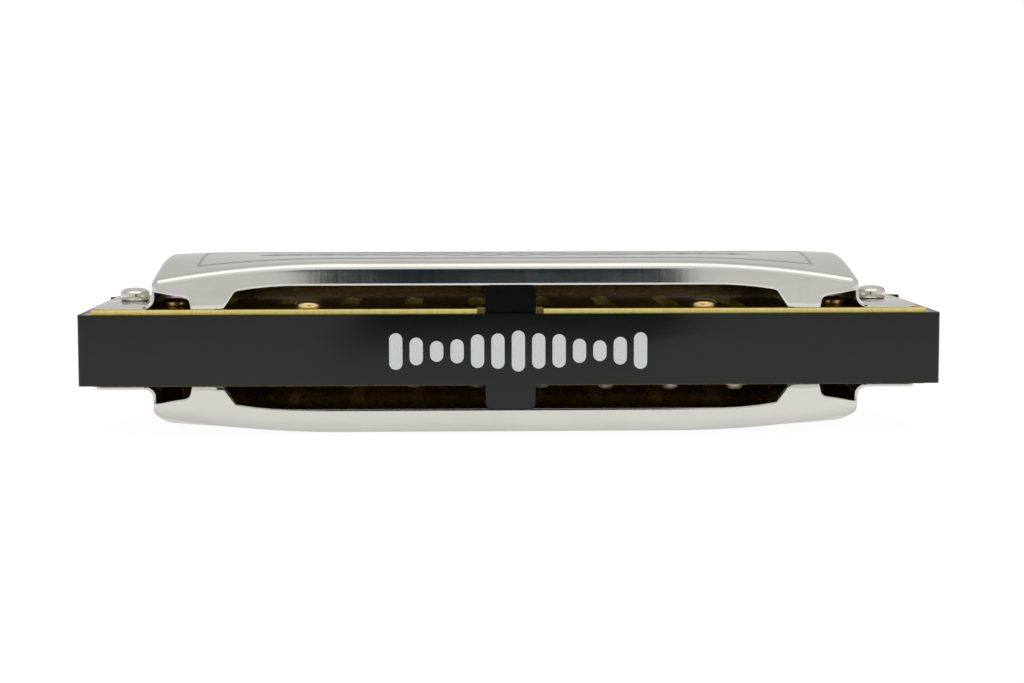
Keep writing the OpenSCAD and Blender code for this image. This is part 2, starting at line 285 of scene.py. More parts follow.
def cover_point(x, s, z):
    """Frame position of a point of the upper cover, with its end walls drawn in towards the front."""
    reach = abs(x) / END_WALL if abs(x) < END_WALL else (TAB_X - abs(x)) / (TAB_X - END_WALL)
    shift = END_TAPER * (s - COVER_REAR) / (COVER_FRONT - COVER_REAR) * max(0.0, reach)
    return Vector((WORKS_X + math.copysign(abs(x) - shift, x), REAR_Y + s, MID_Z + z))


# ---- meshes --------------------------------------------------------------------------------------

def mesh_from(name, points, faces):
    mesh = bpy.data.meshes.new(name)
    mesh.from_pydata([Vector(p) * MM for p in points], [], faces)
    mesh.update()
    return mesh


def new_object(name, mesh, material=None, body=BODY):
    obj = bpy.data.objects.new(name, mesh)
    bpy.context.scene.collection.objects.link(obj)
    if material:
        mesh.materials.clear()
        mesh.materials.append(material)
    if body:
        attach(obj, body)
    return obj


def tidy_faces(mesh):
    """Merges vertices that meet and turns all faces outwards."""
    shape = bmesh.new()
    shape.from_mesh(mesh)
    bmesh.ops.remove_doubles(shape, verts=shape.verts, dist=WELD * MM)
    bmesh.ops.recalc_face_normals(shape, faces=shape.faces)
    shape.to_mesh(mesh)
    shape.free()


def smooth(mesh, angle=30):
    """Shades a mesh smooth, with its edges sharper than the angle kept."""
    mesh.polygons.foreach_set("use_smooth", [True] * len(mesh.polygons))
    mesh.set_sharp_from_angle(angle=math.radians(angle))


def bevel(obj, width, angle=40):
    modifier = obj.modifiers.new("bevel", "BEVEL")
    modifier.width = width * MM
    modifier.segments = 2
    modifier.angle_limit = math.radians(angle)
    modifier.use_clamp_overlap = True
    modifier.miter_outer = "MITER_ARC"


def bake(obj):
    """Applies an object's modifiers and shades the result."""
    graph = bpy.context.evaluated_depsgraph_get()
    mesh = bpy.data.meshes.new_from_object(obj.evaluated_get(graph))
    obj.modifiers.clear()
    obj.data = mesh
    smooth(mesh, 35)


def lathe(profile, at, steps):
    """Points and faces of a profile of (radius, z), from axis to axis, turned about a vertical axis."""
    x, y, z0 = at
    ring = profile[1:-1]
    points = [(x, y, z0 + profile[0][1])]
    angles = [2 * math.pi * k / steps for k in range(steps)]
    for r, z in ring:
        points += [(x + r * math.cos(a), y + r * math.sin(a), z0 + z) for a in angles]
    points.append((x, y, z0 + profile[-1][1]))
    faces = []
    for k in range(steps):
        n = (k + 1) % steps
        faces.append((0, 1 + n, 1 + k))
        for r in range(len(ring) - 1):
            a, b = 1 + r * steps, 1 + (r + 1) * steps
            faces.append((a + k, a + n, b + n, b + k))
        top = 1 + (len(ring) - 1) * steps
        faces.append((top + k, top + n, len(points) - 1))
    return points, faces


def block(low, high):
    """Points and faces of a box."""
    (x0, y0, z0), (x1, y1, z1) = low, high
    points = [(x, y, z) for z in (z0, z1) for y in (y0, y1) for x in (x0, x1)]
    faces = [(0, 2, 3, 1), (4, 5, 7, 6), (0, 1, 5, 4), (1, 3, 7, 5), (3, 2, 6, 7), (2, 0, 4, 6)]
    return points, faces


def joined(parts):
    """Several lots of points and faces as one."""
    points, faces = [], []
    for more_points, more_faces in parts:
        faces += [tuple(k + len(points) for k in face) for face in more_faces]
        points += more_points
    return points, faces


# ---- materials -----------------------------------------------------------------------------------

class Material:
    """A Principled material whose textures follow the object's own coordinates in millimetres."""

    def __init__(self, name, **inputs):
        self.data = bpy.data.materials.new(name)
        self.data.use_nodes = True
        self.tree = self.data.node_tree
        self.shader = self.tree.nodes["Principled BSDF"]
        for key, value in inputs.items():
            self.shader.inputs[key.replace("_", " ")].default_value = value

    def node(self, kind, **values):
        node = self.tree.nodes.new(kind)
        for key, value in values.items():
            setattr(node, key, value)
        return node

    def link(self, output, target):
        self.tree.links.new(output, target)

    def noise(self, size, stretch=(1, 1, 1), detail=3.0, rough=0.55):
        """Noise whose grains are about size millimetres, longer along the axes where stretch is above 1."""
        coords = self.node("ShaderNodeTexCoord")
        mapping = self.node("ShaderNodeMapping")
        mapping.inputs["Scale"].default_value = [1 / (size * MM * k) for k in stretch]
        noise = self.node("ShaderNodeTexNoise")
        noise.inputs["Scale"].default_value = 1.0
        noise.inputs["Detail"].default_value = detail
        noise.inputs["Roughness"].default_value = rough
        self.link(coords.outputs["Object"], mapping.inputs["Vector"])
        self.link(mapping.outputs["Vector"], noise.inputs["Vector"])
        return noise.outputs["Fac"]

    def spread(self, value, low, high, start=0.3, end=0.7):
        """A value remapped from start..end to low..high."""
        remap = self.node("ShaderNodeMapRange")
        self.link(value, remap.inputs["Value"])
        for key, number in zip(("From Min", "From Max", "To Min", "To Max"), (start, end, low, high)):
            remap.inputs[key].default_value = number
        return remap.outputs["Result"]

    def colours(self, value, stops):
        """A colour ramp over a value; stops are (position, colour)."""
        ramp = self.node("ShaderNodeValToRGB")
        while len(ramp.color_ramp.elements) < len(stops):
            ramp.color_ramp.elements.new(0.5)
        for element, (position, colour) in zip(ramp.color_ramp.elements, stops):
            element.position = position
            element.color = (*colour, 1)
        self.link(value, ramp.inputs["Fac"])
        return ramp.outputs["Color"]

    def math(self, operation, a, b):
        node = self.node("ShaderNodeMath", operation=operation)
        for socket, value in zip(node.inputs, (a, b)):
            if isinstance(value, (int, float)):
                socket.default_value = value
            else:
                self.link(value, socket)
        return node.outputs["Value"]

    def mix(self, share, a, b):
        """Colour a where share is 0 and b where it is 1."""
        node = self.node("ShaderNodeMix", data_type="RGBA")
        self.link(share, node.inputs[0])
        self.link(a, node.inputs[6])
        self.link(b, node.inputs[7])
        return node.outputs[2]

    def facing_up(self):
        """1 on level faces and 0 on upright ones, in the object's own axes."""
        coords = self.node("ShaderNodeTexCoord")
        split = self.node("ShaderNodeSeparateXYZ")
        self.link(coords.outputs["Normal"], split.inputs["Vector"])
        return self.math("ABSOLUTE", split.outputs["Z"], 0.0)

    def bump(self, height, depth, under=None):
        """Bump of depth millimetres, laid over an earlier one."""
        bump = self.node("ShaderNodeBump")
        bump.inputs["Distance"].default_value = depth * MM
        bump.inputs["Strength"].default_value = 1.0
        self.link(height, bump.inputs["Height"])
        if under:
            self.link(under, bump.inputs["Normal"])
        return bump.outputs["Normal"]

    def set(self, **sockets):
        for key, output in sockets.items():
            self.link(output, self.shader.inputs[key.replace("_", " ")])


def cover_steel():
    """Stainless sheet, polished across its length, with fine brush lines and faint smears."""
    mat = Material("cover_steel", Metallic=1.0)
    lines = mat.noise(0.22, stretch=(1, 50, 50), detail=2.0)
    smears = mat.noise(9.0, stretch=(1.5, 1, 0.6), detail=4.0, rough=0.6)
    scratches = mat.noise(0.05, stretch=(90, 1, 1), detail=1.0)
    mat.set(Base_Color=mat.colours(smears, [(0.25, (0.60, 0.595, 0.56)), (0.75, (0.68, 0.675, 0.64))]))
    rough = mat.math("ADD", mat.spread(lines, 0.0, 0.04), mat.spread(smears, 0.07, 0.13))
    mat.set(Roughness=rough)
    mat.set(Normal=mat.bump(scratches, 0.0003, mat.bump(lines, 0.0006)))
    return mat.data


def shaded_sheet_inside():
    """The covers' inner face: rough from the press, and coloured darker and warmer than the outer steel as
    painted shade of the closed-in inside.
    """
    mat = Material("cover_inside_painted_shade", Metallic=1.0)
    grain = mat.noise(0.15, stretch=(4, 1, 1))
    smears = mat.noise(4.0, detail=4.0)
    # darker and warmer than the outer steel: painted shade
    mat.set(Base_Color=mat.colours(smears, [(0.25, (0.38, 0.35, 0.29)), (0.75, (0.46, 0.43, 0.37))]))
    mat.set(Roughness=mat.spread(grain, 0.16, 0.3), Normal=mat.bump(grain, 0.0015))
    return mat.data


def etched_steel():
    """The sheet where it is stamped: duller and darker."""
    mat = Material("cover_steel_stamped", Metallic=1.0)
    grain = mat.noise(0.08)
    mat.set(Base_Color=mat.colours(grain, [(0.3, (0.42, 0.43, 0.43)), (0.7, (0.5, 0.51, 0.51))]))
    mat.set(Roughness=mat.spread(grain, 0.35, 0.5), Normal=mat.bump(grain, 0.004))
    return mat.data


def comb_plastic():
    """Black moulded ABS with a fine satin grain."""
    mat = Material("comb_plastic", Metallic=0.0, IOR=1.5)
    mat.shader.inputs["Specular IOR Level"].default_value = 0.37
    grain = mat.noise(0.07, detail=2.0)
    flow = mat.noise(7.0, stretch=(3, 1, 1), detail=3.0)
    mat.set(Base_Color=mat.colours(flow, [(0.3, (0.0032, 0.0042, 0.0036)), (0.7, (0.0048, 0.006, 0.005))]))
    mat.set(Roughness=mat.math("ADD", mat.spread(grain, -0.01, 0.02), mat.spread(flow, 0.11, 0.15)))
    mat.set(Normal=mat.bump(grain, 0.0012, mat.bump(flow, 0.008)))
    return mat.data


def plate_brass(name, edge_dark, edge_bright):
    """Rolled brass plate, brighter where its edges were milled; its faces tarnished brown and darkened
    further as painted shade of the covered inside.
    """
    mat = Material(name)
    rolled = mat.noise(0.12, stretch=(50, 1, 1), detail=2.0)
    cutter = mat.noise(0.3, stretch=(1, 30, 30), detail=2.0)
    patina = mat.noise(5.0, detail=4.0)
    # the faces' brown is partly tarnish and partly painted shade for the dim inside of the covers
    face = mat.colours(patina, [(0.25, (0.42, 0.27, 0.07)), (0.75, (0.62, 0.43, 0.14))])
    edge = mat.colours(cutter, [(0.3, edge_dark), (0.7, edge_bright)])
    up = mat.facing_up()
    edge_to_face = (0.55, 0.8)
    mat.set(Base_Color=mat.mix(mat.spread(up, 0.0, 1.0, *edge_to_face), edge, face))
    worn = mat.math("ADD", mat.spread(patina, 0.26, 0.34), mat.spread(rolled, 0.0, 0.08))
    mat.set(Roughness=mat.math("ADD", worn, mat.spread(up, 0.25, 0.0, *edge_to_face)))
    mat.set(Metallic=mat.spread(up, 0.5, 1.0, *edge_to_face))
    mat.set(Normal=mat.bump(cutter, 0.004, mat.bump(rolled, 0.0015)))
    return mat.data


def reed_brass():
    """Springy reed brass with file marks across each tongue."""
    mat = Material("reed_brass", Metallic=1.0)
    filed = mat.noise(0.06, stretch=(30, 1, 1), detail=2.0)
    tone = mat.noise(2.5, detail=3.0)
    mat.set(Base_Color=mat.colours(tone, [(0.25, (0.72, 0.52, 0.2)), (0.75, (0.84, 0.65, 0.3))]))
    mat.set(Roughness=mat.spread(filed, 0.18, 0.36), Normal=mat.bump(filed, 0.003))
    return mat.data


def screw_brass():
    """Brass of the screws and blow rivets, with turning marks."""
    mat = Material("screw_brass", Metallic=1.0)
    turned = mat.noise(0.1, stretch=(1, 1, 0.4), detail=2.0)
    tone = mat.noise(1.5, detail=3.0)
    mat.set(Base_Color=mat.colours(tone, [(0.25, (0.78, 0.55, 0.22)), (0.75, (0.9, 0.69, 0.33))]))
    mat.set(Roughness=mat.spread(turned, 0.24, 0.36), Normal=mat.bump(turned, 0.003))
    return mat.data


def nickel():
    """Warm nickel plate on the bolts, with handling scratches."""
    mat = Material("nickel", Metallic=1.0)
    scratches = mat.noise(0.07, stretch=(12, 2, 1), detail=2.0)
    tone = mat.noise(1.8, detail=3.0)
    mat.set(Base_Color=mat.colours(tone, [(0.25, (0.62, 0.59, 0.53)), (0.75, (0.74, 0.71, 0.65))]))
    mat.set(Roughness=mat.spread(scratches, 0.1, 0.22), Normal=mat.bump(scratches, 0.002))
    return mat.data


def rivet_metal():
    """White metal of the draw rivets, dull from the peening hammer."""
    mat = Material("rivet_metal", Metallic=0.6)
    dents = mat.noise(0.5, detail=2.0)
    mat.set(Base_Color=mat.colours(dents, [(0.3, (0.62, 0.56, 0.5)), (0.7, (0.8, 0.74, 0.68))]))
    mat.set(Roughness=mat.spread(dents, 0.35, 0.5), Normal=mat.bump(dents, 0.02))
    return mat.data


def silver_ink():
    """Pad-printed silver ink with its speckle of flakes."""
    mat = Material("silver_ink", Metallic=0.0)
    flakes = mat.noise(0.13, detail=2.0, rough=0.7)
    mat.set(Base_Color=mat.colours(flakes, [(0.35, (0.5, 0.52, 0.53)), (0.65, (0.68, 0.69, 0.7))]))
    mat.set(Roughness=mat.spread(flakes, 0.45, 0.65), Normal=mat.bump(flakes, 0.003))
    return mat.data


STEEL = cover_steel()
STAMPED = etched_steel()
SHADED_INSIDE = shaded_sheet_inside()
PLASTIC = comb_plastic()
BRASS = plate_brass("plate_brass", (0.94, 0.78, 0.22), (1.0, 0.9, 0.32))
# the same brass with its edges painted dark: painted shade for the lower plate's edge, which lies in shadow
SHADED_BRASS = plate_brass("plate_brass_painted_shade", (0.13, 0.1, 0.03), (0.3, 0.23, 0.07))
REED_BRASS = reed_brass()
SCREW_BRASS = screw_brass()
NICKEL = nickel()
RIVET = rivet_metal()
INK = silver_ink()


# ---- comb and plates -----------------------------------------------------------------------------

RIM_T = 1.15                                      # rear rim of the comb
END_RIM_T = 1.4                                   # end rims
RIM_HIGH, RIM_LOW = 4.07, -4.39
RIM_FRONT = 24                                    # depth where the end rims stop, inside the lips
COMB_FRONT = COMB_HIGH.y - REAR_Y                 # depth of the comb's front face
LIP_S = 22.98                                     # rear face of the mouthpiece lips
LIP_R = 1.4
HOLE_W, HOLE_H = 5.5, 5.0
CHAMBER_FRONT = 22.0
CHAMBER_ROOM = 0.4                                # how far a chamber reaches behind its reed
POST_X, POST_REAR, POST_FRONT = 3.05, 1.0, 3.6
POST_FOOT, POST_R, POST_DRAFT = 3.2, 0.6, 0.1
PLAN_CORNER = 0.5
FRONT_CORNER = 6.0
PLATE_CORNER = 0.4
NOTCH_X, NOTCH_S = 3.95, 4.0                      # the plates' notch round the posts
SLOT_W = 2.2
ROOT_GAP, TIP_GAP = 0.05, 0.1                     # room at the two ends of a tongue
COMB_SCREW_R, PLATE_SCREW_R = 0.9, 0.85           # bores for the plate screws


def rounded_plan(x0, s0, x1, s1, radius, far_radius=0.0):
    """Corners of a rounded rectangle in plan, as (x, s), anticlockwise."""
    far = max(radius, far_radius)
    corners = [(x1 - radius, s0 + radius, radius, -90), (x1 - far, s1 - far, far, 0),
               (x0 + far, s1 - far, far, 90), (x0 + radius, s0 + radius, radius, 180)]
    points = []
    for x, s, r, start in corners:
        steps = 18 if r > 2 else 6
        for k in range(steps + 1):
            a = math.radians(start + 90 * k / steps)
            points.append((x + r * math.cos(a), s + r * math.sin(a)))
    return points


def prism(ring_low, ring_high):
    """Points and faces of a solid between two rings of points with the same count."""
    count = len(ring_low)
    faces = [tuple(reversed(range(count))), tuple(range(count, 2 * count))]
    faces += [(k, (k + 1) % count, count + (k + 1) % count, count + k) for k in range(count)]
    return list(ring_low) + list(ring_high), faces


def upright(plan, z0, z1):
    """A plan outline of (x, s) raised from z0 to z1 over the mid-plane."""
    return prism(*[[(x, REAR_Y + s, MID_Z + z) for x, s in plan] for z in (z0, z1)])


def box_shape(x0, x1, s0, s1, z0, z1):
    return upright([(x0, s0), (x1, s0), (x1, s1), (x0, s1)], z0, z1)


def merge(obj, shape, operation):
    """Joins a shape given as points and faces to an object, or cuts or trims the object with it."""
    tool = bpy.data.objects.new("tool", mesh_from("tool", *shape))
    tidy_faces(tool.data)
    bpy.context.scene.collection.objects.link(tool)
    modifier = obj.modifiers.new("merge", "BOOLEAN")
    modifier.operation = operation
    modifier.solver = "EXACT"
    modifier.object = tool
    bake(obj)
    bpy.data.objects.remove(tool)


def lip_shape(half_l):
    """The mouthpiece lips: one bar with rounded front edges, as high as the plates' outer faces."""
    high = PLATE_TOP
    profile = [(LIP_S, -high)]
    for start, z in ((-90, -high + LIP_R), (0, high - LIP_R)):
        for k in range(10):
            a = math.radians(start + 10 * k)
            profile.append((COMB_FRONT - LIP_R + LIP_R * math.cos(a), z + LIP_R * math.sin(a)))
    profile.append((LIP_S, high))
    return prism(*[[(x, REAR_Y + s, MID_Z + z) for s, z in profile] for x in (-half_l, half_l)])


def post_shape(side):
    """One of the two posts that prop a cover's rear edge."""
    top = OPENING_Z - 0.05
    outline = [(-POST_X, POST_FOOT), (POST_X, POST_FOOT)]
    for x, start in ((POST_X - POST_DRAFT - POST_R, 0), (-POST_X + POST_DRAFT + POST_R, 90)):
        for k in range(7):
            a = math.radians(start + 15 * k)
            outline.append((x + POST_R * math.cos(a), top - POST_R + POST_R * math.sin(a)))
    ends = [[(x, REAR_Y + s, MID_Z + side * z) for x, z in outline] for s in (POST_REAR, POST_FRONT)]
    return prism(*ends)


def hole_cutter(x):
    """A mouth hole with its flared rim."""
    rings = [(CHAMBER_FRONT - CUT, 0.0), (COMB_FRONT - 0.45, 0.0), (COMB_FRONT - 0.2, 0.08),
             (COMB_FRONT, 0.3), (COMB_FRONT + 0.5, 1.0)]
    points, faces = [], []
    for s, flare in rings:
        w, h = HOLE_W / 2 + flare, HOLE_H / 2 + flare
        points += [(x + dx, REAR_Y + s, MID_Z + dz) for dx, dz in ((-w, -h), (w, -h), (w, h), (-w, h))]
    for r in range(len(rings) - 1):
        a, b = 4 * r, 4 * r + 4
        faces += [(a + k, a + (k + 1) % 4, b + (k + 1) % 4, b + k) for k in range(4)]
    last = 4 * (len(rings) - 1)
    faces += [(0, 1, 2, 3), (last, last + 1, last + 2, last + 3)]
    return points, faces


def bore_shape(x, s, radius):
    """An upright rod through the whole harmonica, to cut a bore."""
    ring = [(x + radius * math.cos(math.radians(15 * k)), s + radius * math.sin(math.radians(15 * k)))
            for k in range(24)]
    return upright(ring, -COVER_TOP, COVER_TOP)


def bores(bolt_r, screw_r):
    """The ways for the two bolts and the four plate screws, where their CAD nodes stand."""
    shapes = []
    for node, radius in (("left_cover_bolt", bolt_r), ("right_cover_bolt", bolt_r),
                         ("rear_left_plate_screw", screw_r), ("rear_right_plate_screw", screw_r),
                         ("end_left_plate_screw", screw_r), ("end_right_plate_screw", screw_r)):
        low, high = box_mm(node)
        shapes.append(bore_shape((low.x + high.x) / 2, (low.y + high.y) / 2 - REAR_Y, radius))
    return shapes


def rim_plan(half_l):
    """Plan of the rear rim and the two end rims."""
    bar = rounded_plan(-half_l, 0, half_l, RIM_FRONT, PLAN_CORNER)
    corner = len(bar) // 4
    inner_x = half_l - END_RIM_T
    right_end = [(half_l, RIM_FRONT), (inner_x, RIM_FRONT), (inner_x, RIM_T)]
    left_end = [(-inner_x, RIM_T), (-inner_x, RIM_FRONT), (-half_l, RIM_FRONT)]
    return bar[-corner:] + bar[:corner] + right_end + left_end


def reed_place(kind, i):
    """Where a reed lies: its X and the depths of its rear and front ends."""
    low, high = box_mm(f"{kind}_reed_{i}")
    return reed_x(i), low.y - REAR_Y, high.y - REAR_Y


def make_comb():
    """The comb: core, rims, lips and posts in one, with chambers, mouth holes and bores cut out of it."""
    half_l = COMB_HIGH.x
    core = PLATE_TOP - PLATE_T
    plan = rounded_plan(-half_l, 0, half_l, COMB_FRONT, PLAN_CORNER, FRONT_CORNER)
    mesh = mesh_from("comb_body", *upright(plan, -core, core))
    obj = new_object("comb_body", mesh, PLASTIC)
    merge(obj, upright(rim_plan(half_l), RIM_LOW, RIM_HIGH), "UNION")
    merge(obj, lip_shape(half_l), "UNION")
    merge(obj, upright(plan, -COVER_TOP, COVER_TOP), "INTERSECT")
    for side in (1, -1):
        merge(obj, post_shape(side), "UNION")
    tidy_faces(obj.data)
    bevel(obj, 0.15, angle=35)
    bake(obj)
    for i in range(1, HOLES + 1):
        x, rear_s, _ = reed_place("blow", i)
        half_w = HOLE_W / 2
        rear_s -= CHAMBER_ROOM
        chamber = box_shape(x - half_w, x + half_w, rear_s, CHAMBER_FRONT, -core - CUT, core + CUT)
        merge(obj, chamber, "DIFFERENCE")
        merge(obj, hole_cutter(x), "DIFFERENCE")
    for shape in bores(BOLT_BORE_R, COMB_SCREW_R):
        merge(obj, shape, "DIFFERENCE")
    smooth(obj.data)
    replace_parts(obj, "comb")


def make_plate(side):
    """A reed plate with a slot for each reed; the blow reeds hang in the upper one."""
    name, kind = ("upper", "blow") if side > 0 else ("lower", "draw")
    low, high = box_mm(name + "_reed_plate")
    rear, front = low.y - REAR_Y, high.y - REAR_Y
    z0, z1 = low.z - MID_Z, high.z - MID_Z
    plan = rounded_plan(low.x, rear, high.x, front, PLATE_CORNER)
    # the lower plate gets the brass with painted shade on its edges
    brass = BRASS if side > 0 else SHADED_BRASS
    mesh = mesh_from(name + "_plate", *upright(plan, z0, z1))
    obj = new_object(name + "_plate", mesh, brass)
    merge(obj, box_shape(-NOTCH_X, NOTCH_X, 0, NOTCH_S, z0 - CUT, z1 + CUT), "DIFFERENCE")
    bevel(obj, 0.06, angle=35)
    bake(obj)
    rear_gap, front_gap = (TIP_GAP, ROOT_GAP) if kind == "blow" else (ROOT_GAP, TIP_GAP)
    half_w = SLOT_W / 2
    for i in range(1, HOLES + 1):
        x, rear_s, front_s = reed_place(kind, i)
        slot = box_shape(x - half_w, x + half_w, rear_s - rear_gap, front_s + front_gap, z0 - CUT, z1 + CUT)
        merge(obj, slot, "DIFFERENCE")
    for shape in bores(BOLT_BORE_R, PLATE_SCREW_R):
        merge(obj, shape, "DIFFERENCE")
    smooth(obj.data)
    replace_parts(obj, name + "_reed_plate")


# ---- covers --------------------------------------------------------------------------------------

def make_cover(side):
    """One pressed cover; side is 1 for the upper and -1 for the lower."""
    name = "upper" if side > 0 else "lower"
    points, faces = half_skin()
    placed = [cover_point(*p) for p in points]
    placed += [cover_point(-x, s, z) for x, s, z in points]
    count = len(points)
    faces = faces + [tuple(reversed([k + count for k in face])) for face in faces]
    if side < 0:
        placed = [Vector((p.x, p.y, 2 * MID_Z - p.z)) for p in placed]
        faces = [tuple(reversed(face)) for face in faces]
    mesh = mesh_from(name + "_cover_sheet", placed, faces)
    shape = bmesh.new()
    shape.from_mesh(mesh)
    bmesh.ops.remove_doubles(shape, verts=shape.verts, dist=WELD * MM)
    shape.to_mesh(mesh)
    shape.free()
    obj = new_object(name + "_cover_sheet", mesh, STEEL)
    sheet = obj.modifiers.new("sheet", "SOLIDIFY")
    sheet.thickness = SHEET * MM
    sheet.offset = -1
    sheet.use_even_offset = True
    mesh.materials.append(SHADED_INSIDE)
    sheet.material_offset = 1
    bevel(obj, 0.07, angle=55)
    bake(obj)
    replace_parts(obj, name + "_cover")


# ---- reeds, feet and rivets ----------------------------------------------------------------------

TAPER = 0.1                                       # share of its width that a tongue loses towards its tip
FILED = 0.09                                      # brass filed off along the middle,
TIP_LEFT = 0.05                                   # less so at the tip
BROKEN_EDGE = 0.035
TONGUE_STEPS = 14
FOOT_L = 2.8
RIVET_R, RIVET_HEAD_R = 0.6, 1.0


def tongue(low, high, root_at_front):
    """A reed between two corners of its CAD box: tapered, filed thinner along the middle, edges broken."""
    middle_x = (low.x + high.x) / 2
    root, tip = (high.y, low.y) if root_at_front else (low.y, high.y)
    c = BROKEN_EDGE
    points, faces = [], []
    for k in range(TONGUE_STEPS + 1):
        t = k / TONGUE_STEPS
        half = (high.x - low.x) / 2 * (1 - TAPER * t)
        y = lerp(root, tip, t)
        thin = FILED * smoothstep(t / 0.25) - TIP_LEFT * smoothstep((t - 0.7) / 0.3)
        z0 = low.z + thin
        points += [(middle_x + dx, y, z) for dx, z in (
            (-half + c, z0), (half - c, z0), (half, z0 + c), (half, high.z - c),
            (half - c, high.z), (-half + c, high.z), (-half, high.z - c), (-half, z0 + c))]
    for k in range(TONGUE_STEPS):
        for n in range(8):
            m = (n + 1) % 8
            faces.append((8 * k + n, 8 * k + m, 8 * k + 8 + m, 8 * k + 8 + n))
    faces += [tuple(range(8)), tuple(range(8 * TONGUE_STEPS, 8 * TONGUE_STEPS + 8))]
    return points, faces


def make_reeds():
    for i in range(1, HOLES + 1):
        for kind in ("blow", "draw"):
            node = f"{kind}_reed_{i}"
            low, high = box_mm(node)
            name = f"{kind}_tongue_{i}"
            mesh = mesh_from(name, *tongue(low, high, kind == "blow"))
            tidy_faces(mesh)
            smooth(mesh)
            obj = new_object(name, mesh, REED_BRASS, node)
            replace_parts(obj, node)


def reed_x(i):
    low, high = box_mm(f"blow_reed_{i}")
    return (low.x + high.x) / 2


def rivet_y(i, kind):
    """Y of a reed's rivet: the middle of its foot, past the tongue's root."""
    half_foot = FOOT_L / 2
    if kind == "blow":
        return box_mm("blow_reed_feet")[1].y - half_foot
    return box_mm(f"draw_reed_{i}")[0].y - ROOT_GAP - half_foot


def rivet_profile(head, length):
    """Profile of a rivet standing on its domed head, with its peened end on top."""
    dome = [(0.4, 0.03), (0.7, 0.15 * head), (0.88, 0.38 * head), (0.97, 0.7 * head), (RIVET_HEAD_R, head)]
    shank = [(RIVET_R, head), (RIVET_R, head + 0.5), (RIVET_R, length)]
    return [(0, 0)] + dome + shank + [(0.52, length + 0.07), (0.3, length + 0.12), (0, length + 0.14)]


def make_feet_and_rivets():
    """Each group's ten pads and ten rivets, one piece for each group as in the CAD."""
    for kind, rivet_material, slot in (("blow", SCREW_BRASS, "plate_brass"), ("draw", RIVET, "nickel")):
        low, high = box_mm(kind + "_reed_feet")
        half_w = (high.x - low.x - (reed_x(1) - reed_x(HOLES))) / 2
        pads, rivets = [], []
        rivet_low, rivet_high = box_mm(kind + "_rivets")
        profile = rivet_profile(low.z - rivet_low.z, rivet_high.z - rivet_low.z)
        for i in range(1, HOLES + 1):
            x, y = reed_x(i), rivet_y(i, kind)
            pads.append(block((x - half_w, y - FOOT_L / 2, low.z), (x + half_w, y + FOOT_L / 2, high.z)))
            rivets.append(lathe(profile, (x, y, rivet_low.z), 28))
        feet_mesh = mesh_from(kind + "_feet_pads", *joined(pads))
        feet = new_object(kind + "_feet_pads", feet_mesh, REED_BRASS)
        bevel(feet, 0.08)
        bake(feet)
        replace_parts(feet, kind + "_reed_feet")
        rivet_mesh = mesh_from(kind + "_rivet_heads", *joined(rivets))
        smooth(rivet_mesh)
        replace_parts(new_object(kind + "_rivet_heads", rivet_mesh, rivet_material), kind + "_rivets")


# ---- bolts and screws ----------------------------------------------------------------------------

THREAD_PITCH, THREAD_DEPTH = 0.4, 0.12
SLOT_HALF_W, SLOT_DEPTH = 0.22, 0.45              # the driver's slot


def thread_profile(shank_r, low_z, high_z):
    """Points of a shank's threads, as (radius, z)."""
    points = []
    for k in range(int((high_z - low_z - THREAD_PITCH) / THREAD_PITCH)):
        z = low_z + THREAD_PITCH / 2 + k * THREAD_PITCH
        points.append((shank_r - THREAD_DEPTH, z))
        points += [(shank_r, z + THREAD_PITCH * 0.4), (shank_r, z + THREAD_PITCH * 0.6)]
    return points


def make_fastener(node, name, material, slot_turn):
    """A slotted pan head on its shank, in the CAD node's place."""
    low, high = box_mm(node)
    centre = ((low.x + high.x) / 2, (low.y + high.y) / 2, 0)
    head_r = (high.x - low.x) / 2
    bolt = "bolt" in node
    shank_r = 1.0 if bolt else 0.8
    head_h = 1.5 if bolt else 1.0
    under = high.z - head_h
    side = 0.5 * head_h
    profile = [(0, low.z), (shank_r - 0.3, low.z), (shank_r - THREAD_DEPTH, low.z + 0.15)]
    profile += thread_profile(shank_r, low.z, under)
    profile += [(shank_r, under - 0.1), (shank_r, under)]
    profile += [(head_r * 0.9, under), (head_r * 0.97, under + 0.06), (head_r, under + 0.16)]
    for a in [math.radians(9 * k) for k in range(10)]:
        profile.append((head_r * math.cos(a) ** 0.62, under + side + (head_h - side) * math.sin(a)))
    profile.append((0, high.z))
    mesh = mesh_from(name, *lathe(profile, centre, 56))
    tidy_faces(mesh)
    obj = new_object(name, mesh, material)
    points, faces = block((-head_r - CUT, -SLOT_HALF_W, high.z - SLOT_DEPTH),
                          (head_r + CUT, SLOT_HALF_W, high.z + CUT))
    turn = Matrix.Rotation(math.radians(slot_turn), 4, "Z")
    merge(obj, ([turn @ Vector(p) + Vector(centre) for p in points], faces), "DIFFERENCE")
    bevel(obj, 0.05, angle=50)
    bake(obj)
    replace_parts(obj, node)


def make_fasteners():
    make_fastener("left_cover_bolt", "left_bolt", NICKEL, 12)
    make_fastener("right_cover_bolt", "right_bolt", NICKEL, -24)
    for node, turn in (("rear_left", 8), ("rear_right", -15), ("end_left", 20), ("end_right", -5)):
        make_fastener(node + "_plate_screw", node + "_screw", SCREW_BRASS, turn)


# ---- printed and stamped decoration --------------------------------------------------------------

PRINT_LIFT = 0.012                                # how far the decoration's middle lies off its surface


